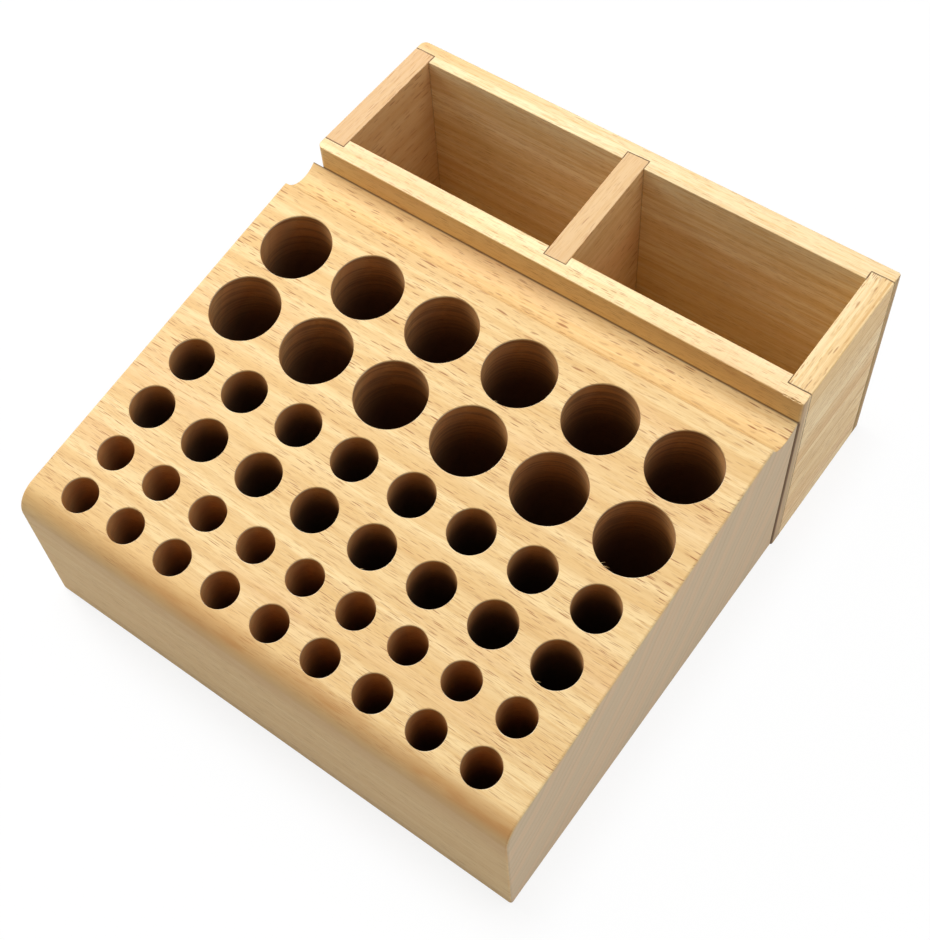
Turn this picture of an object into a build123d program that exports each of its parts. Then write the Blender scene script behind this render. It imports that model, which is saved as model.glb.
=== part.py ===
from build123d import *
import math
import os

# Beech organiser for hand tools: a sloped block drilled with rows of holes, and behind it a taller
# open box with two compartments. Sizes are in millimetres.
# X runs along the rows from left to right, Y from the front to the back, and Z up.
# Pieces are drawn from the front left corner of the block's footprint. The last step moves them all,
# so that the origin is the middle of the whole footprint, on the surface that the object stands on.

# Sloped block
block_width = 189.0
block_depth = 151.5
front_height = 59.0  # where the slope would meet the front face if the edge were sharp
slope_angle = 8.0  # degrees
nose_radius = 9.2  # round edge between the front face and the slope
edge_ease = 1.0  # sanded edges of the base and of the front corners
side_ease = 0.4  # lighter sanding along the top and the back of both sides

# Round-bottomed trough across the back of the slope
trough_radius = 9.0
trough_floor = 72.7  # height of its lowest line above the table
trough_inset = 6.2  # its centre line, in front of the block's back

# Holes, drilled straight down to one depth stop
hole_floor = 12.0  # wood left under every hole
side_wood = 6.0  # least wood between a row's last hole and the side
trough_wood = 3.0  # least wood between the last row and the trough
small_diameter = 12.0
small_pitch = 19.3
small_rows = (12.6, 29.6)  # distance of each row from the front face
medium_diameter = 15.0
medium_pitch = 22.25
medium_rows = (48.2, 68.1)
large_diameter = 24.0
large_pitch = 30.0
large_rows = (91.8, 118.9)

# Box
box_depth = 60.0
box_height = 85.0
wall = 8.0  # thickness of the two long walls
end_thickness = 8.0
divider_thickness = 8.2
divider_turn = 1.9  # degrees by which the divider's housings are out of square
box_left_step = 3.0  # the box stops short of the block's left side
box_right_step = 0.5  # and stands a little proud of its right side
joint_depth = 3.5  # rebates and housings in the long walls
joint_play = 0.1  # glue line at the end of a board
corner_left = 2.5  # rounded outer corners on the left
corner_right = 1.0  # sharper ones on the right
corner_share = 0.9  # a rounded corner takes at most this share of the wood outside the joint
rim_ease = 0.5  # sanded outer edges along the top and the bottom
inner_ease = 0.3  # lighter sanding along the inner top edges

# Bottom panel, held in grooves all round
panel_thickness = 5.0
panel_rise = 4.0  # its underside above the table
groove_depth = 3.5
panel_play = 0.3  # room for the panel to swell, on each side

close = 0.01  # how near to a plane an edge counts as lying on it

# Places that follow from the sizes above
slope = math.radians(slope_angle)
trough_line = block_depth - trough_inset
trough_centre = trough_floor + trough_radius
box_left = box_left_step
box_right = block_width + box_right_step
box_middle = (box_left + box_right) / 2
box_front = block_depth
box_back = box_front + box_depth
inner_left = box_left + end_thickness
inner_right = box_right - end_thickness
inner_front = box_front + wall
inner_back = box_back - wall
joint_front = inner_front - joint_depth
joint_back = inner_back + joint_depth
panel_top = panel_rise + panel_thickness
total_width = max(block_width, box_right)
to_origin = Pos(-total_width / 2, -box_back / 2, 0)


def cuboid(x_low, x_high, y_low, y_high, z_low, z_high):
    """A box between two opposite corners."""
    middle = Pos((x_low + x_high) / 2, (y_low + y_high) / 2, (z_low + z_high) / 2)
    return middle * Box(x_high - x_low, y_high - y_low, z_high - z_low)


def edges_at(shape, **place):
    """Edges whose middle lies on all the given planes, such as Y=0 or Z=85."""
    return shape.edges().filter_by(
        lambda edge: all(abs(getattr(edge.center(), axis) - value) < close for axis, value in place.items())
    )


def slope_height(y):
    """Height of the sloped face above the table, at a distance from the front face."""
    return front_height + y * math.tan(slope)


def trough_start():
    """Distance from the front face to the crest, where the trough cuts the slope."""
    rise = front_height - trough_centre
    a = 1 + math.tan(slope) ** 2
    b = 2 * (math.tan(slope) * rise - trough_line)
    c = trough_line**2 + rise**2 - trough_radius**2
    return (-b - math.sqrt(b * b - 4 * a * c)) / (2 * a)


def block_outline():
    """Side view of the block: front face, round nose, slope, trough, back and base."""
    nose_centre = slope_height(nose_radius) - nose_radius / math.cos(slope)

    def on_nose(angle):
        return (
            nose_radius + nose_radius * math.cos(angle),
            nose_centre + nose_radius * math.sin(angle),
        )

    nose_start = on_nose(math.pi)
    nose_end = on_nose(math.pi / 2 + slope)
    nose_middle = on_nose((math.pi + math.pi / 2 + slope) / 2)
    crest = (trough_start(), slope_height(trough_start()))
    trough_end = trough_centre - math.sqrt(trough_radius**2 - trough_inset**2)
    sides = [
        Line((0, 0), nose_start),
        ThreePointArc(nose_start, nose_middle, nose_end),
        Line(nose_end, crest),
        ThreePointArc(crest, (trough_line, trough_floor), (block_depth, trough_end)),
        Line((block_depth, trough_end), (block_depth, 0)),
        Line((block_depth, 0), (0, 0)),
    ]
    return make_face(Curve() + sides)


def hole_places():
    """Every hole as (x, y, diameter). A row holds as many as the width takes, and is centred."""
    places = []
    sizes = (
        (small_diameter, small_pitch, small_rows),
        (medium_diameter, medium_pitch, medium_rows),
        (large_diameter, large_pitch, large_rows),
    )
    for diameter, pitch, rows in sizes:
        room = block_width - 2 * side_wood - diameter
        count = int(room / pitch) + 1
        first = (block_width - (count - 1) * pitch) / 2
        for y in rows:
            if y + diameter / 2 + trough_wood < trough_start():
                places += [(first + i * pitch, y, diameter) for i in range(count)]
    return places


def tool_block():
    """The sloped block, one piece of solid wood with the grain along X."""
    block = extrude(Plane.YZ * block_outline(), block_width)
    base = edges_at(block, Z=0) - edges_at(block, Y=block_depth)
    corners = edges_at(block, Y=0, X=0) + edges_at(block, Y=0, X=block_width)
    block = fillet(base + corners, edge_ease)
    tops = edges_at(block, X=0) + edges_at(block, X=block_width)
    block = fillet(tops, side_ease)
    for x, y, diameter in hole_places():
        drill = Cylinder(diameter / 2, box_height, align=(Align.CENTER, Align.CENTER, Align.MIN))
        block -= Pos(x, y, hole_floor) * drill
    return block


def divider_board(play):
    """The board between the compartments, with the given play at both ends of its housings."""
    half = divider_thickness / 2
    reach = (joint_back - joint_front) / 2 - play
    board = cuboid(-half, half, -reach, reach, panel_top, box_height)
    return Pos(box_middle, (box_front + box_back) / 2, 0) * Rot(0, 0, divider_turn) * board


def long_wall(housing):
    """The front wall of the box: rebated at both ends, housed for the divider, grooved for the panel."""
    board = cuboid(box_left, box_right, box_front, inner_front, 0, box_height)
    board -= cuboid(box_left, inner_left, joint_front, inner_front, 0, box_height)
    board -= cuboid(inner_right, box_right, joint_front, inner_front, 0, box_height)
    board -= housing
    board -= cuboid(
        inner_left - groove_depth,
        inner_right + groove_depth,
        inner_front - groove_depth,
        inner_front,
        panel_rise,
        panel_top,
    )
    most = corner_share * (wall - joint_depth)
    board = fillet(edges_at(board, X=box_left, Y=box_front), min(corner_left, most))
    board = fillet(edges_at(board, X=box_right, Y=box_front), min(corner_right, most))
    board = fillet(edges_at(board, Y=box_front, Z=box_height), rim_ease)
    board = fillet(edges_at(board, Y=box_front, Z=0), rim_ease)
    return fillet(edges_at(board, Y=inner_front, Z=box_height), inner_ease)


def rear_wall():
    """The same board turned round, behind the compartments."""
    middle = Plane.XZ.offset(-(box_front + box_back) / 2)
    return mirror(long_wall(mirror(divider_board(0), middle)), middle)


def end_board(outer_x, inner_x):
    """A short board whose ends sit in the rebates, grooved for the panel, with the grain along Y."""
    low, high = sorted((outer_x, inner_x))
    board = cuboid(low, high, joint_front + joint_play, joint_back - joint_play, 0, box_height)
    inward = math.copysign(groove_depth, outer_x - inner_x)
    low, high = sorted((inner_x, inner_x + inward))
    board -= cuboid(low, high, joint_front, joint_back, panel_rise, panel_top)
    board = fillet(edges_at(board, X=outer_x, Z=box_height), rim_ease)
    board = fillet(edges_at(board, X=outer_x, Z=0), rim_ease)
    return fillet(edges_at(board, X=inner_x, Z=box_height), inner_ease)


def divider():
    """The board between the compartments, eased along the two long edges of its top."""
    board = divider_board(joint_play)
    top = board.faces().sort_by(Axis.Z)[-1]
    return fillet(top.edges().sort_by(SortBy.LENGTH)[-2:], inner_ease)


def bottom_panel():
    """The floor of both compartments, loose in its grooves."""
    reach = groove_depth - panel_play
    return cuboid(
        inner_left - reach,
        inner_right + reach,
        inner_front - reach,
        inner_back + reach,
        panel_rise,
        panel_top,
    )


pieces = {
    "tool_block": tool_block(),
    "box_front_wall": long_wall(divider_board(0)),
    "box_rear_wall": rear_wall(),
    "box_left_end": end_board(box_left, inner_left),
    "box_right_end": end_board(box_right, inner_right),
    "box_divider": divider(),
    "box_bottom": bottom_panel(),
}
os.makedirs("parts", exist_ok=True)
for name, shape in pieces.items():
    export_step(to_origin * shape, f"parts/{name}.step")
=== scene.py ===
import math
import random

import bmesh
import bpy
from mathutils import Euler, Matrix, Vector


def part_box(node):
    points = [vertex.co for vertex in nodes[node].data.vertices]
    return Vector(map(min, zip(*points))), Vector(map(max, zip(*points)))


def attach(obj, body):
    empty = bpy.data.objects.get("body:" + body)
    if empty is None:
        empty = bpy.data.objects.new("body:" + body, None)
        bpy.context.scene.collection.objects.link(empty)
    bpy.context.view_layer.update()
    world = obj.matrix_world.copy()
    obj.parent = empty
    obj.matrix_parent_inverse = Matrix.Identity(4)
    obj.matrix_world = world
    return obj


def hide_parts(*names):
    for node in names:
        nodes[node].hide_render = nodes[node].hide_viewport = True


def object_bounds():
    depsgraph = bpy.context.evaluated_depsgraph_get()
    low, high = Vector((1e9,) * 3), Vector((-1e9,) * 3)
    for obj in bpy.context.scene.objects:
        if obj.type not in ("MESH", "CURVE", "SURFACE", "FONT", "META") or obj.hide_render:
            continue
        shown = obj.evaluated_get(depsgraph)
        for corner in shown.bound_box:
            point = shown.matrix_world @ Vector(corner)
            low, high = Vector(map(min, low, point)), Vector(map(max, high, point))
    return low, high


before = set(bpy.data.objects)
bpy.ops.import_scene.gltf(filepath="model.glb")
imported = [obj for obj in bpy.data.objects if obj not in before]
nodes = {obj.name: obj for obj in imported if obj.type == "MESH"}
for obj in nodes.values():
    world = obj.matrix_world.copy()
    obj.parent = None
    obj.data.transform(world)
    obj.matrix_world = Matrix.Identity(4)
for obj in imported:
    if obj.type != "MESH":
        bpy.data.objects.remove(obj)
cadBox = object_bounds()
print("frame loaded with", len(nodes), "wooden pieces")

millimetre = 0.001


# Shader maths
def mathOf(operation):
    def apply(*values):
        sheet = values[0].sheet
        return sheet.node("ShaderNodeMath", {"operation": operation}, dict(enumerate(values)))
    return apply


def turned(operation):  # the same sum with a plain number first
    def apply(wire, other):
        return wire.sheet.node("ShaderNodeMath", {"operation": operation}, {0: other, 1: wire})
    return apply


class Wire:  # a node's output, which can be used in sums
    def __init__(self, sheet, socket):
        self.sheet = sheet
        self.socket = socket

    __add__ = mathOf("ADD")
    __radd__ = turned("ADD")
    __sub__ = mathOf("SUBTRACT")
    __rsub__ = turned("SUBTRACT")
    __mul__ = mathOf("MULTIPLY")
    __rmul__ = turned("MULTIPLY")
    __truediv__ = mathOf("DIVIDE")
    size = mathOf("ABSOLUTE")
    root = mathOf("SQRT")
    turnFrom = mathOf("ARCTAN2")
    part = mathOf("FRACT")
    whole = mathOf("FLOOR")
    most = mathOf("MAXIMUM")

    def step(self, low, high):  # smooth step from 0 at low to 1 at high, either way round
        sockets = {"Value": self, "From Min": low, "From Max": high}
        return self.sheet.node("ShaderNodeMapRange", {"interpolation_type": "SMOOTHSTEP"}, sockets)

    def between(self, low, high):  # turns 0 to 1 into low to high
        return self * (high - low) + low


class Sheet:  # the nodes of one material, or of the sky
    def __init__(self, owner):
        self.owner = owner
        owner.use_nodes = True
        self.tree = owner.node_tree
        self.tree.nodes.clear()

    def node(self, kind, settings=None, sockets=None, output=0):
        made = self.tree.nodes.new(kind)
        for name, value in (settings or {}).items():
            setattr(made, name, value)
        for name, value in (sockets or {}).items():
            if isinstance(value, Wire):
                self.tree.links.new(value.socket, made.inputs[name])
            else:
                made.inputs[name].default_value = value
        if isinstance(output, tuple):
            return [Wire(self, made.outputs[name]) for name in output]
        return Wire(self, made.outputs[output]) if made.outputs else None

    def vector(self, x, y, z):
        return self.node("ShaderNodeCombineXYZ", None, {0: x, 1: y, 2: z})

    def parts(self, wire):
        return self.node("ShaderNodeSeparateXYZ", None, {0: wire}, output=(0, 1, 2))

    def places(self):  # X, Y and Z in the model's frame
        return self.parts(self.node("ShaderNodeTexCoord", output="Object"))

    def mix(self, first, second, share, how="MIX"):
        settings = {"data_type": "RGBA", "blend_type": how}
        return self.node("ShaderNodeMix", settings, {0: share, 6: first, 7: second}, output=2)

    def cloud(self, place, detail=2.0, roughness=0.5):
        sockets = {"Vector": place, "Scale": 1.0, "Detail": detail, "Roughness": roughness}
        return self.node("ShaderNodeTexNoise", None, sockets)

    def rayIs(self, kind):
        return self.node("ShaderNodeLightPath", output=f"Is {kind} Ray")

    def finish(self, shader, kind="ShaderNodeOutputMaterial"):
        self.node(kind, None, {"Surface": shader})
        return self.owner


def tone(red, green, blue):  # a colour as it shows on screen, turned into light
    def linear(value):
        return value / 12.92 if value <= 0.04045 else ((value + 0.055) / 1.055) ** 2.4
    return (linear(red), linear(green), linear(blue), 1.0)


def distance(x, y):
    return (x * x + y * y).root()


# Beech. A value named Edges gives where a pattern starts to colour the wood and where it is strongest.
# A value named Scales gives how many waves a pattern has in a metre, along the grain and across it.
beech = {
    "pale": tone(0.965, 0.868, 0.665),
    "honey": tone(0.885, 0.735, 0.495),
    "ringLine": tone(0.800, 0.615, 0.370),
    "blush": tone(0.900, 0.715, 0.540),
    "dash": tone(0.590, 0.345, 0.175),
    "endGrain": tone(0.790, 0.700, 0.565),
    "endLine": tone(0.660, 0.550, 0.420),
    "seam": tone(0.330, 0.210, 0.120),
    "shift": 0.0,  # moves the pattern, so that no two boards are alike
    "endEdges": (0.55, 0.9),  # how squarely a face cuts the grain
    "heart": 0.2,  # distance from the pith to the middle of the board
    "ringStep": 4.2 * millimetre,
    "wanderScales": (9, 40),
    "ringWander": 6 * millimetre,
    "waveScales": (70, 140),
    "ringWave": 0.8 * millimetre,
    "lateWood": (0.35, 0.92, 0.94, 1.0),  # a year's dark line rises, and ends at once
    "yearly": (0.25, 1.0),  # weakest and strongest line
    "dashLength": 7.4 * millimetre,  # one dash at most in each such stretch along the grain
    "dashWidth": 0.42 * millimetre,
    "dashReach": 1.8 * millimetre,  # how deep a ray runs towards the bark
    "dashShare": 0.85,
    "dashDepth": 1.0,
    "dashBulk": (0.6, 1.1),
    "dashEdges": (0.40, 0.20),
    "dashFade": 0.04,
    "dashTones": (0.35, 1.0),
    "finer": 0.6,  # size of the fine dashes beside the strong ones
    "fineShare": 0.9,
    "fineShift": 7.3,
    "patchScales": (26, 110),  # patches where the dashes are darker
    "finePatch": (0.3, 0.65),
    "fineDepth": (0.15, 0.50),
    "strongPatch": (0.3, 0.62),
    "strongDepth": (0.38, 0.93),
    "bandScales": (3.5, 240),  # along the grain and across the rings
    "bandEdges": (0.32, 0.68),
    "honeyShare": 0.8,
    "blushScales": (14, 38),
    "blushEdges": (0.48, 0.72),
    "blushShare": 0.25,
    "ringDepth": 0.35,
    "streakScales": (70, 1000),
    "streakEdges": (0.48, 0.68),
    "streakShare": 0.65,
    "fibreScales": (130, 1 / (0.35 * millimetre)),
    "fibreEdges": (0.50, 0.74),
    "fibreShare": 0.55,
    "lineScales": (5, 560),
    "lineEdges": (0.50, 0.66),
    "lineDepth": 0.0,  # strength of long straight lines along the grain
    "endRing": 0.32,
    "spokeScales": (30, 1 / (0.45 * millimetre), 90),  # rays on the end grain, the last across the rings
    "spokeEdges": (0.5, 0.8),
    "spokeShare": 0.12,
    "endBand": (0.38, 0.62),
    "endBandShare": 0.22,
    "poreScales": (60, 1 / (0.3 * millimetre)),
    "poreEdges": (0.5, 0.8),
    "poreShare": 0.12,
    "fibreRelief": 0.35,
    "dashRelief": 0.5,
    "ringRelief": 0.15,
    "poreRelief": 0.1,
    "bump": 0.3,
    "bumpHeight": 0.12 * millimetre,
    "roughness": 0.5,
    "fibreRoughness": 0.15,
    "dashRoughness": 0.1,
    "shine": 0.35,
}


class Grain:  # the patterns of one board, whose grain runs along one axis
    def __init__(self, sheet, look, grain, pith, axes):
        run = "xyz".index(grain)
        self.sheet = sheet
        self.look = look
        self.along = axes[run] + look["shift"]
        self.across, self.up = [axes[i] for i in range(3) if i != run]
        wander = self.cloud("wanderScales", detail=3.0) - 0.5
        wave = self.cloud("waveScales") - 0.5
        fromPith = self.across - pith[0]
        abovePith = self.up - pith[1]
        self.radius = distance(fromPith, abovePith) + wander * look["ringWander"] + wave * look["ringWave"]
        self.tangent = abovePith.turnFrom(fromPith) * look["heart"] + wave * look["ringWave"]

    def cloud(self, scales, detail=2.0, roughness=0.5):
        lengthwise, sideways = self.look[scales]
        place = self.sheet.vector(self.along * lengthwise, self.across * sideways, self.up * sideways)
        return self.sheet.cloud(place, detail, roughness)

    def ringCloud(self, scales, detail=2.0, roughness=0.5):  # one that follows the rings
        lengthwise, around, outward = self.look[scales]
        place = self.sheet.vector(self.along * lengthwise, self.tangent * around, self.radius * outward)
        return self.sheet.cloud(place, detail, roughness)

    def ringLines(self):
        ring = self.radius / self.look["ringStep"]
        yearly = self.sheet.node("ShaderNodeTexWhiteNoise", {"noise_dimensions": "1D"}, {"W": ring.whole()})
        start, full, fall, end = self.look["lateWood"]
        late = ring.part()
        return late.step(start, full) * late.step(end, fall) * yearly.between(*self.look["yearly"])

    def dashes(self, size, share, shift):  # rays cut through, as short dark marks along the grain
        look = self.look
        cell = self.sheet.vector(
            self.along / (look["dashLength"] * size) + shift,
            self.tangent / (look["dashWidth"] * size) + shift,
            self.radius / look["dashReach"] + shift,
        )
        sockets = {"Vector": cell, "Scale": 1.0}
        outputs = ("Color", "Distance")
        colour, middle = self.sheet.node("ShaderNodeTexVoronoi", None, sockets, outputs)
        chance, bulk, depth = self.sheet.parts(colour)
        body = (middle / bulk.between(*look["dashBulk"])).step(*look["dashEdges"])
        there = chance.step(1 - share, 1 - share + look["dashFade"])
        return body * there * depth.between(*look["dashTones"])


def beechSheet(name, grain, pith, paint=None, **changes):
    look = {**beech, **changes}
    sheet = Sheet(bpy.data.materials.new(name))
    axes = sheet.places()
    facing = sheet.parts(sheet.node("ShaderNodeTexCoord", output="Normal"))
    endFace = facing["xyz".index(grain)].size().step(*look["endEdges"])
    sideGrain = 1 - endFace

    board = Grain(sheet, look, grain, pith, axes)
    ringLine = board.ringLines()
    strong = board.dashes(1.0, look["dashShare"], 0.0)
    fine = board.dashes(look["finer"], look["fineShare"], look["fineShift"])
    patch = board.cloud("patchScales", detail=3.0)
    lengthwise, outward = look["bandScales"]
    band = sheet.cloud(sheet.vector(board.along * lengthwise, board.radius * outward, 0.0))
    cloudy = board.cloud("blushScales")
    fibre = board.cloud("fibreScales", detail=3.0, roughness=0.6)
    streak = board.cloud("streakScales", detail=3.0, roughness=0.6)
    lines = board.cloud("lineScales")
    pore = board.cloud("poreScales", roughness=0.7)
    spoke = board.ringCloud("spokeScales", roughness=0.6)

    fineTone = patch.step(*look["finePatch"]).between(*look["fineDepth"])
    strongTone = patch.step(*look["strongPatch"]).between(*look["strongDepth"])
    wood = sheet.mix(look["pale"], look["honey"], band.step(*look["bandEdges"]) * look["honeyShare"])
    wood = sheet.mix(wood, look["blush"], cloudy.step(*look["blushEdges"]) * look["blushShare"])
    wood = sheet.mix(wood, look["ringLine"], ringLine * look["ringDepth"])
    wood = sheet.mix(wood, look["honey"], streak.step(*look["streakEdges"]) * look["streakShare"])
    wood = sheet.mix(wood, look["ringLine"], fibre.step(*look["fibreEdges"]) * look["fibreShare"])
    wood = sheet.mix(wood, look["ringLine"], lines.step(*look["lineEdges"]) * look["lineDepth"])
    wood = sheet.mix(wood, look["dash"], fine * fineTone * sideGrain * look["dashDepth"])
    wood = sheet.mix(wood, look["dash"], strong * strongTone * sideGrain * look["dashDepth"])

    endWood = sheet.mix(look["endGrain"], look["endLine"], ringLine * look["endRing"])
    endWood = sheet.mix(endWood, look["endLine"], spoke.step(*look["spokeEdges"]) * look["spokeShare"])
    endWood = sheet.mix(endWood, look["blush"], band.step(*look["endBand"]) * look["endBandShare"])
    endWood = sheet.mix(endWood, look["endLine"], pore.step(*look["poreEdges"]) * look["poreShare"])
    wood = sheet.mix(wood, endWood, endFace)

    relief = fibre * look["fibreRelief"] + (1 - strong) * look["dashRelief"]
    relief = relief + (1 - ringLine) * look["ringRelief"]
    relief = relief * sideGrain + pore * look["poreRelief"]
    if paint:
        wood, relief = paint(sheet, look, wood, relief, axes, facing)
    bumps = {"Strength": look["bump"], "Distance": look["bumpHeight"], "Height": relief}
    shader = sheet.node("ShaderNodeBsdfPrincipled", None, {
        "Base Color": wood,
        "Roughness": fibre * look["fibreRoughness"] + strong * look["dashRoughness"] + look["roughness"],
        "Normal": sheet.node("ShaderNodeBump", None, bumps),
        "Specular IOR Level": look["shine"],
    })
    return sheet.finish(shader)


# Sloped block
block = {
    "frontHeight": 59.0 * millimetre,  # where the slope meets the front face
    "slope": math.tan(math.radians(8)),
    "frontTone": tone(0.905, 0.765, 0.532),
    "frontEdges": (0.75, 0.97),  # how squarely a face looks to the front
    "frontShare": 0.55,
    "seamWidth": 0.50 * millimetre,
    "seamDepth": 0.8,
    "nose": {  # a patchy darker brown band along the rounded front edge, weakest on the left
        "noseBand": tone(0.780, 0.565, 0.330),
        "inset": (8.55 * millimetre, 2.25 * millimetre),
        "height": (40 * millimetre, 50 * millimetre),
        "x": (-110 * millimetre, -30 * millimetre),
        "sideways": (0.8, 0.4),  # faces that look to the side get no band
        "scales": (45, 160),
        "edges": (0.42, 0.62),
        "shares": (0.6, 0.9),
    },
    "bore": {
        "first": 5.5 * millimetre,  # no hole comes nearer to the front face
        "crest": 136 * millimetre,  # nor lies further back than this
        "side": 1 * millimetre,  # nor nearer to a side
        "floor": 11.5 * millimetre,
        "edge": 0.2 * millimetre,
        "rim": 0.35 * millimetre,
        "belowRim": 0.77 * millimetre,
        # painted shade inside the holes, from the colour by the rim to the deep colour at the depth below
        "wallShade": tone(0.96, 0.81, 0.64),
        "deepShade": tone(0.39, 0.275, 0.205),
        "deep": 25 * millimetre,
        "wallShare": 0.92,
        "middleRowShade": tone(0.42, 0.36, 0.32),  # more painted shade, deeper in the two middle rows of holes
        "middleRowFront": 39 * millimetre,
        "middleRowBack": 79 * millimetre,
        "middleRowDeep": 13 * millimetre,
        "drillMark": 0.9 * millimetre,  # height of one turn of the drill
        "markScale": 30,
        "markEdges": (0.42, 0.62),
        "markShare": 0.5,
        "markRelief": 1.5,
        "smallRough": 0.2,  # the marks in small holes, beside those in the large ones
        "paleTurnAndLight": tone(0.86, 0.66, 0.46),  # paler turns that the drill left in the upper wall, and the painted light on upper walls that look the way below
        "fineTurn": 0.45 * millimetre,
        "turnScale": 60,
        "turnEdges": (0.56, 0.66),
        "turnDeep": (14 * millimetre, 2 * millimetre),
        "turnShare": 0.45,
        "litWallWay": (-0.81, -0.59),  # a way seen from above, as X and Y; upper walls that look this way get painted light
        "litWallEdges": (0.4, 1.0),
        "litWallDeep": (12 * millimetre, 2 * millimetre),
        "litWallShare": 0.4,
        "shadedSide": tone(0.87, 0.79, 0.73),  # painted shade on the hole walls that look this way
        "shadedWay": (0.59, -0.81),
        "shadedEdges": (0.3, 1.0),
        "rimLight": tone(1.0, 0.96, 0.84),
        "rimWay": (-0.65, 0.75),
        "rimEdges": (0.12, 0.40),
        "rimTop": (0.02 * millimetre, 0.08 * millimetre),  # depth where a rim's light starts
        "rimFoot": (0.49 * millimetre, 0.315 * millimetre),  # and where it ends
        "rimShare": 0.85,
    },
}
blockLow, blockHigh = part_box("tool_block")


def looking(facing, way):  # how squarely a face looks a given way
    return facing[0] * way[0] + facing[1] * way[1]


def darkenNose(sheet, wood, inset, axes, facing):
    nose = block["nose"]
    x, y, z = axes
    lengthwise, sideways = nose["scales"]
    noseBand = sheet.cloud(sheet.vector(x * lengthwise, y * sideways, z * sideways), detail=3.0)
    noseBand = noseBand.step(*nose["edges"])
    place = inset.step(*nose["inset"]) * z.step(*nose["height"]) * x.step(*nose["x"])
    place = place * facing[0].size().step(*nose["sideways"])
    return sheet.mix(wood, nose["noseBand"], place * noseBand.between(*nose["shares"]))


def holesShare(inset, axes):  # 1 where the block is drilled, 0 on its outer faces
    bore = block["bore"]
    x, z = axes[0], axes[2]
    side = bore["side"]
    share = inset.step(bore["first"], bore["first"] + bore["edge"])
    share = share * inset.step(bore["crest"], bore["crest"] - bore["edge"])
    share = share * x.step(blockLow.x + side, blockLow.x + 2 * side)
    share = share * x.step(blockHigh.x - side, blockHigh.x - 2 * side)
    return share * z.step(bore["floor"] - millimetre, bore["floor"])


def drillCloud(sheet, axes, scale, height):  # level marks, each one turn high
    x, y, z = axes
    return sheet.cloud(sheet.vector(x * scale, y * scale, z / height), roughness=0.6)


def drillHoles(sheet, wood, relief, inset, depth, axes, facing):
    bore = block["bore"]
    holed = holesShare(inset, axes)
    within = depth.step(bore["rim"], bore["belowRim"]) * holed
    large = inset.step(bore["middleRowBack"] - millimetre, bore["middleRowBack"] + millimetre)
    rough = large.between(bore["smallRough"], 1.0)
    marks = drillCloud(sheet, axes, bore["markScale"], bore["drillMark"])
    turns = drillCloud(sheet, axes, bore["turnScale"], bore["fineTurn"]).step(*bore["turnEdges"])

    # painted shade, stronger in the two middle rows of holes
    middleRows = inset.step(bore["middleRowFront"], bore["middleRowFront"] + millimetre)
    middleRows = middleRows * inset.step(bore["middleRowBack"], bore["middleRowBack"] - millimetre)
    # painted shade inside the holes, darker with depth; the drill marks take the deep colour
    tint = sheet.mix(bore["wallShade"], bore["deepShade"], depth.step(0, bore["deep"]))
    tint = sheet.mix(tint, bore["middleRowShade"], depth.step(0, bore["middleRowDeep"]) * middleRows, "MULTIPLY")
    tint = sheet.mix(tint, bore["deepShade"], marks.step(*bore["markEdges"]) * rough * bore["markShare"])
    wood = sheet.mix(wood, tint, within * bore["wallShare"], "MULTIPLY")
    upper = depth.step(*bore["turnDeep"])
    wood = sheet.mix(wood, bore["paleTurnAndLight"], turns * within * upper * rough * bore["turnShare"])

    # painted shade on the hole walls that look one way
    shadedWall = looking(facing, bore["shadedWay"]).step(*bore["shadedEdges"])
    wood = sheet.mix(wood, bore["shadedSide"], shadedWall * within, "MULTIPLY")
    # painted light on the upper hole walls that look the other way
    litWall = looking(facing, bore["litWallWay"]).step(*bore["litWallEdges"])
    litWall = litWall * depth.step(*bore["litWallDeep"])
    wood = sheet.mix(wood, bore["paleTurnAndLight"], litWall * within * bore["litWallShare"])
    lit = looking(facing, bore["rimWay"]).step(*bore["rimEdges"])
    onRim = depth.step(*bore["rimTop"]) * depth.step(*bore["rimFoot"])
    wood = sheet.mix(wood, bore["rimLight"], onRim * holed * lit * bore["rimShare"])
    return wood, relief + marks * within * bore["markRelief"]


def blockPaint(sheet, look, wood, relief, axes, facing):
    y, z = axes[1:]
    inset = y - blockLow.y
    depth = inset * block["slope"] + block["frontHeight"] - z
    wood = darkenNose(sheet, wood, inset, axes, facing)
    front = (facing[1] * -1).step(*block["frontEdges"])
    wood = sheet.mix(wood, block["frontTone"], front * block["frontShare"])
    wood, relief = drillHoles(sheet, wood, relief, inset, depth, axes, facing)
    joint = y.step(blockHigh.y - block["seamWidth"], blockHigh.y)
    return sheet.mix(wood, look["seam"], joint * block["seamDepth"]), relief


# Box
box = {
    "rimTop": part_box("box_rear_wall")[1].z,
    "faceEdges": (0.5, 0.8),  # how squarely a face looks the way that is meant
    # painted shade on faces that look into the box: darker towards the bottom, and darker on the left end
    # and the divider
    "innerShade": tone(1.0, 1.0, 0.985),
    "lowShade": tone(0.90, 0.87, 0.785),
    "endShade": tone(0.945, 0.905, 0.830),
    "dividerThickness": 8.2 * millimetre,
    "dividerTurn": math.radians(1.9),
    "seamWidth": 0.4 * millimetre,
    "seamDepth": 0.9,
    "seamCore": 0.3,  # share of the seam's width that is darkest
    "uprightSeam": 0.45,  # strength of a seam on an upright face
    "raggedScale": 260,
    "tipEdges": (0.75, 0.95),
    "tipDepth": 0.8,
}
frontWall = {
    "trough": 75.2 * millimetre,  # where the block meets the front wall
    # painted shade on the front wall's face that looks to the block
    "troughShade": tone(0.90, 0.83, 0.70),
    "troughLine": 0.88 * millimetre,
    "behind": (0.8 * millimetre, 0.4 * millimetre),
    "seamDepth": 0.85,
    "sawScales": (1100, 60),  # marks of the saw across the top
    "sawEdges": (0.52, 0.7),
    "sawShare": 0.3,
}
uprights = ["box_left_end", "box_right_end", "box_divider"]


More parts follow.
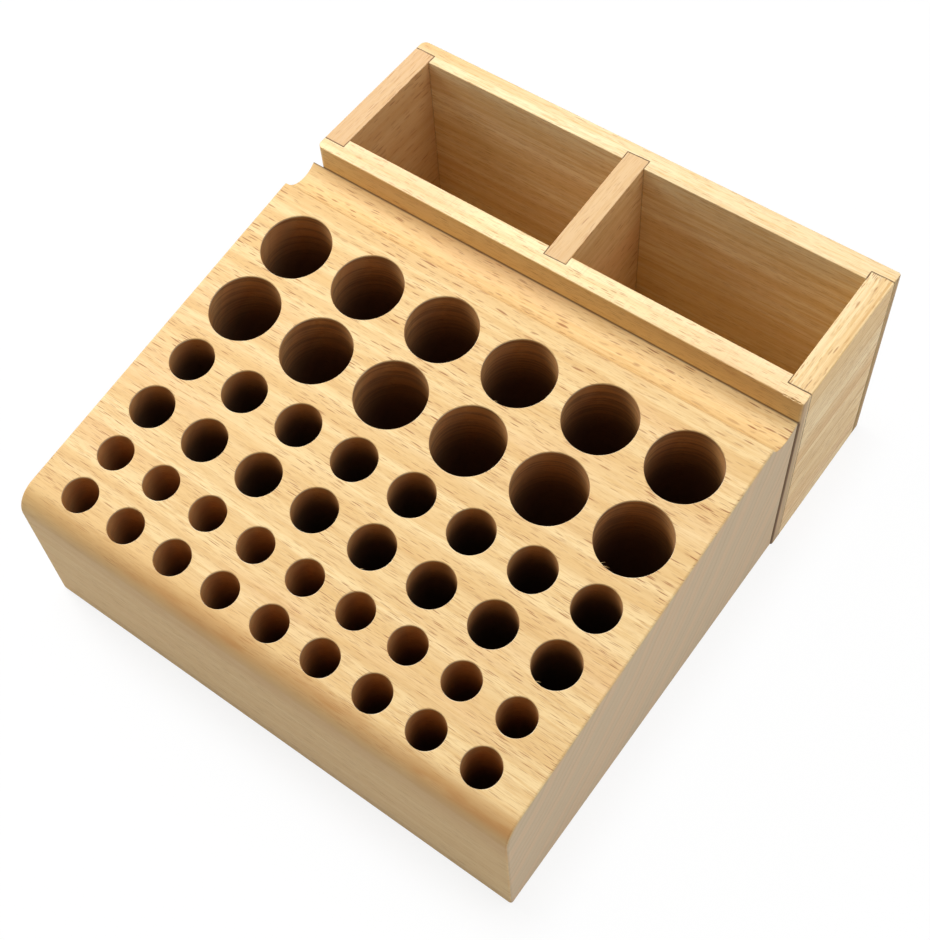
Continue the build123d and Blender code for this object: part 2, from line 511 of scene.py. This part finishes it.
def outsideOf(axes, name):  # distance from an upright piece, seen from above
    low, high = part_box(name)
    turn = box["dividerTurn"] if name == "box_divider" else 0.0
    half = box["dividerThickness"] / 2 if turn else (high.x - low.x) / 2
    x = axes[0] - (low.x + high.x) / 2
    y = axes[1] - (low.y + high.y) / 2
    gapX = ((x * math.cos(turn) + y * math.sin(turn)).size() - half).most(0.0)
    gapY = ((y * math.cos(turn) - x * math.sin(turn)).size() - (high.y - low.y) / 2).most(0.0)
    return distance(gapX, gapY)


def boardPaint(inward, neighbours, tips=None, upperShade="innerShade"):
    def paint(sheet, look, wood, relief, axes, facing):
        width = box["seamWidth"]
        # painted shade on the faces that look into the box, darker towards the bottom
        tint = sheet.mix(box[upperShade], box["lowShade"], axes[2].step(box["rimTop"], 0.0))
        for axis, side in inward:  # each face that looks into the box
            wood = sheet.mix(wood, tint, (facing[axis] * side).step(*box["faceEdges"]), "MULTIPLY")
        ragged = sheet.cloud(sheet.vector(*[axis * box["raggedScale"] for axis in axes])) + 0.5
        onTop = facing[2].step(*box["faceEdges"])
        for name in neighbours:
            line = (outsideOf(axes, name) * ragged).step(width, width * box["seamCore"])
            line = line * onTop.between(box["uprightSeam"], 1.0)
            wood = sheet.mix(wood, look["seam"], line * box["seamDepth"])
        if tips:
            low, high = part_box(tips)
            line = axes[1].step(low.y + width, low.y).most(axes[1].step(high.y - width, high.y))
            wood = sheet.mix(wood, look["seam"], line * ragged.step(*box["tipEdges"]) * box["tipDepth"])
        return wood, relief
    return paint


def frontWallPaint(sheet, look, wood, relief, axes, facing):  # this board also meets the block
    x, y, z = axes
    wood, relief = boardPaint([(1, 1)], uprights)(sheet, look, wood, relief, axes, facing)
    sawLine, sawLength = frontWall["sawScales"]
    sawn = sheet.cloud(sheet.vector(x * sawLine, y * sawLength, z * sawLength)).step(*frontWall["sawEdges"])
    wood = sheet.mix(wood, look["blush"], sawn * facing[2].step(*box["faceEdges"]) * frontWall["sawShare"])
    # painted shade on the front wall's face that looks to the block
    toBlock = (facing[1] * -1).step(*box["faceEdges"])
    wood = sheet.mix(wood, frontWall["troughShade"], toBlock, "MULTIPLY")
    above = (z - frontWall["trough"]).step(frontWall["troughLine"], 0.0) * toBlock
    near, far = frontWall["behind"]
    behind = y.step(blockHigh.y + near, blockHigh.y + far)
    below = z.step(frontWall["trough"], frontWall["trough"] - millimetre)
    return sheet.mix(wood, look["seam"], above.most(behind * below) * frontWall["seamDepth"]), relief


thinRays = {
    "dashReach": 0.9 * millimetre,
    "dashLength": 5.6 * millimetre,
    "dashWidth": 0.40 * millimetre,
}
tallRays = {
    "dashReach": 1.4 * millimetre,
    "dashLength": 8.0 * millimetre,
    "dashWidth": 0.42 * millimetre,
    "dashDepth": 0.6,
}
pinkish = {
    "pale": tone(0.865, 0.735, 0.570),
    "honey": tone(0.820, 0.670, 0.490),
    "blushShare": 0.6,
}
lipTones = {
    "endGrain": tone(0.700, 0.585, 0.420),
    "endLine": tone(0.560, 0.440, 0.300),
}
leftPaint = boardPaint([(0, 1)], [], "box_left_end", "endShade")
rightPaint = boardPaint([(0, -1)], [], "box_right_end")
dividerPaint = boardPaint([(0, 1), (0, -1)], [], None, "endShade")
sheets = {
    "tool_block": beechSheet(
        "blockBeech", "x", (-0.18, 0.163), blockPaint,
        pale=tone(0.920, 0.805, 0.590), honey=tone(0.855, 0.695, 0.450), ringLine=tone(0.775, 0.590, 0.350),
    ),
    "box_front_wall": beechSheet(
        "frontWallBeech", "x", (0.20, 0.05), frontWallPaint, **thinRays, **lipTones,
        shift=0.31, heart=0.16, blushShare=0.4, dashDepth=0.7,
        pale=tone(0.985, 0.900, 0.715), honey=tone(0.945, 0.830, 0.615),
    ),
    "box_rear_wall": beechSheet(
        "rearWallBeech", "x", (-0.12, 0.30), boardPaint([(1, -1)], uprights), **thinRays, **lipTones,
        shift=0.77, heart=0.3, dashDepth=0.45, lineDepth=0.2, pale=tone(0.968, 0.885, 0.712),
    ),
    "box_left_end": beechSheet(
        "leftEndBeech", "y", (-0.10, -0.22), leftPaint, **tallRays, **pinkish, shift=0.12, lineDepth=0.25,
    ),
    "box_right_end": beechSheet(
        "rightEndBeech", "y", (-0.14, 0.11), rightPaint, **thinRays,
        shift=0.53, heart=0.24, dashDepth=0.85, lineDepth=0.6, pale=tone(0.965, 0.880, 0.700),
    ),
    "box_divider": beechSheet(
        "dividerBeech", "y", (0.02, -0.25), dividerPaint, **tallRays, shift=0.95, lineDepth=0.2,
        pale=tone(0.895, 0.775, 0.605), honey=tone(0.835, 0.690, 0.505), blushShare=0.6,
    ),
    "box_bottom": beechSheet(
        "panelBeech", "x", (0.07, -0.40), boardPaint([(2, 1)], []), **thinRays, shift=0.4,
    ),
}
for name, material in sheets.items():
    for place in nodes[name].material_slots:
        place.material = material
print("beech on", len(sheets), "pieces")


# Shapes that the worked wood adds: rounded rims, torn spots and loose fibres
drilled = {
    "rows": [  # diameter, pitch and distance from the front face, all in millimetres
        (12.0, 19.30, 12.6), (12.0, 19.30, 29.6),
        (15.0, 22.25, 48.2), (15.0, 22.25, 68.1),
        (24.0, 30.00, 91.8), (24.0, 30.00, 118.9),
    ],
    "sideWood": 6.0,  # least wood between a row's last hole and the side
    "floor": 11.95,
    "wider": 0.05,  # the new wall lies just outside the old one
    "ease": 0.28,  # radius of a rounded rim
    "profile": [(-1.0, 0.0), (-0.62, 0.08), (-0.29, 0.29), (-0.08, 0.62), (0.0, 1.0)],  # lift and widening
    "above": 0.8,  # how far the plug stands over the slope
    "flare": 0.4,  # and how much wider it is there
    "segments": 72,
    "waves": 4,
    "waveShare": (0.06, 0.16),
    "waveNumber": (2, 9),
    "round": 6.3,  # about a full turn, in radians
    "nicks": 2,  # torn spots on a rim, at most
    "nickBulge": (0.5, 1.6),
    "nickWidth": (0.03, 0.08),
}
torn = {  # centre, half sizes and turn about Z, in millimetres and degrees
    "tool_block": [
        ((94.1, 32.4, 78.3), (0.7, 1.5, 0.5), 10), ((94.2, 26.0, 77.5), (0.4, 0.9, 0.3), -8),
        ((94.2, 12.5, 75.6), (0.3, 1.1, 0.25), 5), ((93.9, 42.6, 74.0), (0.8, 0.7, 0.5), 20),
        ((94.3, -61.0, 65.2), (0.3, 0.8, 0.3), 0), ((-94.2, -88.0, 61.3), (0.3, 0.9, 0.3), 12),
    ],
    "box_front_wall": [
        ((88.2, 45.8, 84.9), (1.1, 0.34, 0.4), 4), ((90.9, 45.85, 84.8), (0.9, 0.4, 0.5), -6),
        ((93.2, 45.9, 84.9), (0.8, 0.3, 0.4), 8), ((84.6, 45.7, 85.0), (0.7, 0.25, 0.25), 0),
        ((87.2, 50.4, 84.8), (0.45, 0.3, 0.7), 0), ((-88.0, 45.8, 85.0), (0.9, 0.3, 0.3), 3),
    ],
    "box_right_end": [
        ((93.2, 50.45, 84.7), (1.5, 0.22, 0.9), 1), ((94.6, 78.0, 85.0), (0.25, 2.0, 0.3), 0),
        ((86.8, 96.5, 85.0), (0.3, 1.2, 0.3), 0),
    ],
    "box_rear_wall": [((0.4, 97.8, 85.0), (1.3, 0.3, 0.3), 2), ((60.0, 105.7, 85.0), (1.8, 0.25, 0.25), 0)],
}
lump = {"subdivisions": 2, "radii": (0.75, 1.15)}  # radii as shares of its half sizes
splinter = {
    "places": [  # row, hole, angle round the rim, length in millimetres
        (4, 5, -102, 1.7), (4, 5, -109, 1.2), (2, 7, -107, 1.5), (0, 1, 84, 1.8), (0, 1, 97, 1.1),
        (3, 2, 196, 1.2), (5, 3, -95, 1.0), (1, 3, 205, 1.3), (2, 4, -80, 0.9), (4, 1, 215, 1.1),
    ],
    "lean": (1.7, 2.5),  # how far it turns away from the rim, in radians
    "root": 0.15,  # depth of its foot in the wood, in millimetres
    "rise": 0.45,  # its height, as a share of its length
    "width": 0.08,
    "taper": 0.7,
    "steps": 5,
    "corners": (0.0, 2.1, 4.2),
}
finish = {
    "weld": 0.001 * millimetre,
    "sharpAngle": math.radians(28),
    "rimAngle": math.radians(9),
    "onSlope": 0.99999,  # how squarely a face lies on the slope
}


def holePlaces():  # the holes of each row as x, y and radius, in millimetres from the front left corner
    width = (blockHigh.x - blockLow.x) / millimetre
    places = []
    for diameter, pitch, y in drilled["rows"]:
        count = int((width - 2 * drilled["sideWood"] - diameter) / pitch) + 1
        first = (width - (count - 1) * pitch) / 2
        places.append([(first + i * pitch, y, diameter / 2) for i in range(count)])
    return places


def slopeHeight(y):  # in millimetres, as y is
    return block["frontHeight"] / millimetre + y * block["slope"]


def inFrame(x, y, z):  # from millimetres off the front left corner to the model's frame
    return Vector((x * millimetre + blockLow.x, y * millimetre + blockLow.y, z * millimetre))


def roundTurns():
    return [2 * math.pi * i / drilled["segments"] for i in range(drilled["segments"])]


def floorRing(hole):
    x, y, radius = hole
    wide = radius + drilled["wider"]
    places = [(x + wide * math.cos(turn), y + wide * math.sin(turn)) for turn in roundTurns()]
    return [inFrame(*place, drilled["floor"]) for place in places]


def slopeRing(hole, lift, widen):  # one loop of points round a hole, on a plane along the slope
    x, y, radius = hole
    slope = math.atan(block["slope"])
    loop = []
    for turn, rise, more in zip(roundTurns(), lift, widen):
        wide, long = radius + more, radius / math.cos(slope) + more
        up = slopeHeight(y) + rise / math.cos(slope) + long * math.sin(turn) * math.sin(slope)
        loop.append(inFrame(x + wide * math.cos(turn), y + long * math.sin(turn) * math.cos(slope), up))
    return loop


def rimEase(chance):  # radius of the rounding at each point of a rim, wavy and with a few torn spots
    whole = drilled["round"]
    waves = []
    for _ in range(drilled["waves"]):
        share = chance.uniform(*drilled["waveShare"])
        number = chance.randint(*drilled["waveNumber"])
        waves.append((share, number, chance.uniform(0, whole)))
    nicks = []
    for _ in range(chance.randint(0, drilled["nicks"])):
        place = chance.uniform(0, whole)
        bulge = chance.uniform(*drilled["nickBulge"])
        nicks.append((place, bulge, chance.uniform(*drilled["nickWidth"])))
    ease = []
    for turn in roundTurns():
        size = 1 + sum(share * math.sin(number * turn + start) for share, number, start in waves)
        for place, bulge, width in nicks:
            off = math.remainder(turn - place, 2 * math.pi) / width
            size += bulge * math.exp(-off * off)
        ease.append(size * drilled["ease"])
    return ease


def skin(shape, loops):  # a closed skin over a stack of loops, from the lowest up
    rows = [[shape.verts.new(point) for point in loop] for loop in loops]
    count = len(rows[0])
    for low, high in zip(rows, rows[1:]):
        for i in range(count):
            shape.faces.new((low[i], low[(i + 1) % count], high[(i + 1) % count], high[i]))
    shape.faces.new(reversed(rows[0]))
    shape.faces.new(rows[-1])


def holeShape(shape, hole, chance):  # a plug that widens at the rim by a rounded edge
    ease = rimEase(chance)
    wall = drilled["wider"]
    loops = [floorRing(hole)]
    for lift, widen in drilled["profile"]:
        loops.append(slopeRing(hole, [lift * e for e in ease], [wall + widen * e for e in ease]))
    above = [drilled["above"]] * drilled["segments"]
    loops.append(slopeRing(hole, above, [wall + e + drilled["flare"] for e in ease]))
    skin(shape, loops)


def tornShape(shape, centre, half, turn, chance):  # a rough lump, whose place in the wood becomes a chip
    made = bmesh.ops.create_icosphere(shape, subdivisions=lump["subdivisions"], radius=1.0)["verts"]
    for vert in made:
        vert.co *= chance.uniform(*lump["radii"])
    size = Matrix.Diagonal([value * millimetre for value in half]).to_4x4()
    place = Matrix.Translation([value * millimetre for value in centre])
    place = place @ Matrix.Rotation(math.radians(turn), 4, "Z")
    bmesh.ops.transform(shape, matrix=place @ size, verts=made)


def splinterShape(shape, hole, angle, length, chance):  # a thin curl of wood left standing on a rim
    turn = math.radians(angle)
    lean = turn + chance.uniform(*splinter["lean"])
    x, y, radius = hole
    base = Vector((x + radius * math.cos(turn), y + radius * math.sin(turn), 0))
    base.z = slopeHeight(base.y) - splinter["root"]
    loops = []
    for i in range(splinter["steps"] + 1):
        share = i / splinter["steps"]
        curl = share * share * length
        rise = share * length * splinter["rise"]
        centre = base + Vector((math.cos(lean) * curl, math.sin(lean) * curl, rise))
        width = splinter["width"] * (1 - splinter["taper"] * share)
        corners = [Vector((math.cos(a), math.sin(a), math.sin(a + lean))) for a in splinter["corners"]]
        loops.append([inFrame(*(centre + width * corner)) for corner in corners])
    skin(shape, loops)


def meshFrom(shape, name):
    bmesh.ops.recalc_face_normals(shape, faces=shape.faces)
    mesh = bpy.data.meshes.new(name)
    shape.to_mesh(mesh)
    shape.free()
    return mesh


def sharpenRims(mesh):  # keeps the slope flat right up to the rounded rims
    slope = math.atan(block["slope"])
    upright = Vector((0, -math.sin(slope), math.cos(slope)))
    shape = bmesh.new()
    shape.from_mesh(mesh)
    for edge in shape.edges:
        onSlope = [face.normal.dot(upright) > finish["onSlope"] for face in edge.link_faces]
        if any(onSlope) and not all(onSlope) and edge.calc_face_angle(0) > finish["rimAngle"]:
            edge.smooth = False
    shape.to_mesh(mesh)
    shape.free()


def newObject(name, data):
    thing = bpy.data.objects.new(name, data)
    bpy.context.scene.collection.objects.link(thing)
    return thing


def applied(piece):  # the piece's mesh with its modifiers worked in
    mesh = bpy.data.meshes.new_from_object(piece.evaluated_get(bpy.context.evaluated_depsgraph_get()))
    piece.modifiers.clear()
    return mesh


def wornPiece(name, cuts, additions=None):
    chance = random.Random(name)
    clean = bmesh.new()
    clean.from_mesh(nodes[name].data)
    bmesh.ops.remove_doubles(clean, verts=clean.verts, dist=finish["weld"])
    piece = newObject(name + "_worn", meshFrom(clean, name + "Worn"))

    shape = bmesh.new()
    cuts(shape, chance)
    knife = newObject("knife", meshFrom(shape, "knife"))
    change = piece.modifiers.new("cut", "BOOLEAN")
    change.operation = "DIFFERENCE"
    change.solver = "EXACT"
    change.object = knife
    cut = applied(piece)
    bpy.data.objects.remove(knife)

    if additions:
        joined = bmesh.new()
        joined.from_mesh(cut)
        additions(joined, chance)
        joined.to_mesh(cut)
        joined.free()
    cut.materials.clear()
    cut.materials.append(sheets[name])
    cut.shade_smooth()
    cut.set_sharp_from_angle(angle=finish["sharpAngle"])
    sharpenRims(cut)
    piece.data = cut
    level = piece.modifiers.new("flatFaces", "WEIGHTED_NORMAL")
    level.keep_sharp = True
    piece.data = applied(piece)

    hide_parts(name)
    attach(piece, "root")
    print(name, "worn, with", len(piece.data.polygons), "faces")


holes = holePlaces()


def cutsOf(name):
    def cut(shape, chance):
        if name == "tool_block":
            for row in holes:
                for hole in row:
                    holeShape(shape, hole, chance)
        for spot in torn[name]:
            tornShape(shape, *spot, chance)
    return cut


def addSplinters(shape, chance):
    for row, hole, angle, length in splinter["places"]:
        splinterShape(shape, holes[row][hole], angle, length, chance)


for name in torn:
    wornPiece(name, cutsOf(name), addSplinters if name == "tool_block" else None)


# Floor, light and camera
stage = {
    "half": 3.0,
    "bounce": tone(0.88, 0.87, 0.86),
    "shadowShare": 0.16,  # how much of the real shadow the camera sees close to the object
    "farShare": 0.02,  # and away from it, where the floor burns out to white
    "shadowReach": 20 * millimetre,
    "sky": 0.27,
}
lamps = {
    "key": {"place": (-0.66, 0.03, 0.60), "aim": (0, 0, 0.05), "size": 0.45, "power": 5.0},
    "overhead": {"place": (-0.10, 0.20, 1.2), "aim": (0, 0, 0.05), "size": 0.9, "power": 7.0},
    "right": {"place": (1.1, 0.1, 0.35), "aim": (0, 0, 0.04), "size": 0.8, "power": 2.6},
    "upperRight": {"place": (0.47, 0.30, 0.95), "aim": (0, 0, 0.05), "size": 0.5, "power": 1.6},
}
view = {"place": (0.1848, -0.2126, 0.4746), "turn": (31.824, 2.848, 36.385), "lens": 60.39, "sensor": 36.0}
white = tone(1, 1, 1)


def makeFloor():
    half = stage["half"]
    mesh = bpy.data.meshes.new("floor")
    corners = [(-half, -half, 0), (half, -half, 0), (half, half, 0), (-half, half, 0)]
    mesh.from_pydata(corners, [], [(0, 1, 2, 3)])
    sheet = Sheet(bpy.data.materials.new("paleFloor"))
    seen = sheet.rayIs("Camera").most(sheet.rayIs("Glossy")).most(sheet.rayIs("Transmission"))
    bounce = sheet.node("ShaderNodeBsdfDiffuse", None, {"Color": stage["bounce"]})
    shaded = sheet.node("ShaderNodeBsdfDiffuse", None, {"Color": white})
    glow = sheet.node("ShaderNodeEmission", None, {"Color": white, "Strength": 1.0})
    place = sheet.places()
    away = distance(*[(place[i].size() - cadBox[1][i]).most(0.0) for i in (0, 1)])
    share = away.step(stage["shadowReach"], 0.0).between(stage["farShare"], stage["shadowShare"])
    shown = sheet.node("ShaderNodeMixShader", None, {0: share, 1: glow, 2: shaded})
    shader = sheet.node("ShaderNodeMixShader", None, {0: seen, 1: bounce, 2: shown})
    mesh.materials.append(sheet.finish(shader))
    newObject("floor", mesh)


def makeSky():
    sheet = Sheet(bpy.data.worlds.new("sky"))
    bpy.context.scene.world = sheet.owner
    dim = sheet.node("ShaderNodeBackground", None, {"Color": white, "Strength": stage["sky"]})
    bright = sheet.node("ShaderNodeBackground", None, {"Color": white, "Strength": 1.0})
    shown = sheet.node("ShaderNodeMixShader", None, {0: sheet.rayIs("Camera"), 1: dim, 2: bright})
    sheet.finish(shown, "ShaderNodeOutputWorld")


def makeLamps():
    for name, lamp in lamps.items():
        data = bpy.data.lights.new(name + "Lamp", "AREA")
        data.shape = "DISK"
        data.size = lamp["size"]
        data.energy = lamp["power"]
        thing = newObject(name + "Lamp", data)
        thing.location = lamp["place"]
        way = Vector(lamp["aim"]) - Vector(lamp["place"])
        thing.rotation_euler = way.to_track_quat("-Z", "Y").to_euler()


def makeCamera():
    data = bpy.data.cameras.new("camera")
    data.lens = view["lens"]
    data.sensor_width = view["sensor"]
    camera = newObject("camera", data)
    camera.location = view["place"]
    camera.rotation_euler = Euler([math.radians(angle) for angle in view["turn"]])
    bpy.context.scene.camera = camera


makeFloor()
makeSky()
makeLamps()
makeCamera()
bpy.context.scene.view_settings.view_transform = "Standard"
print("floor, lamps and camera placed")
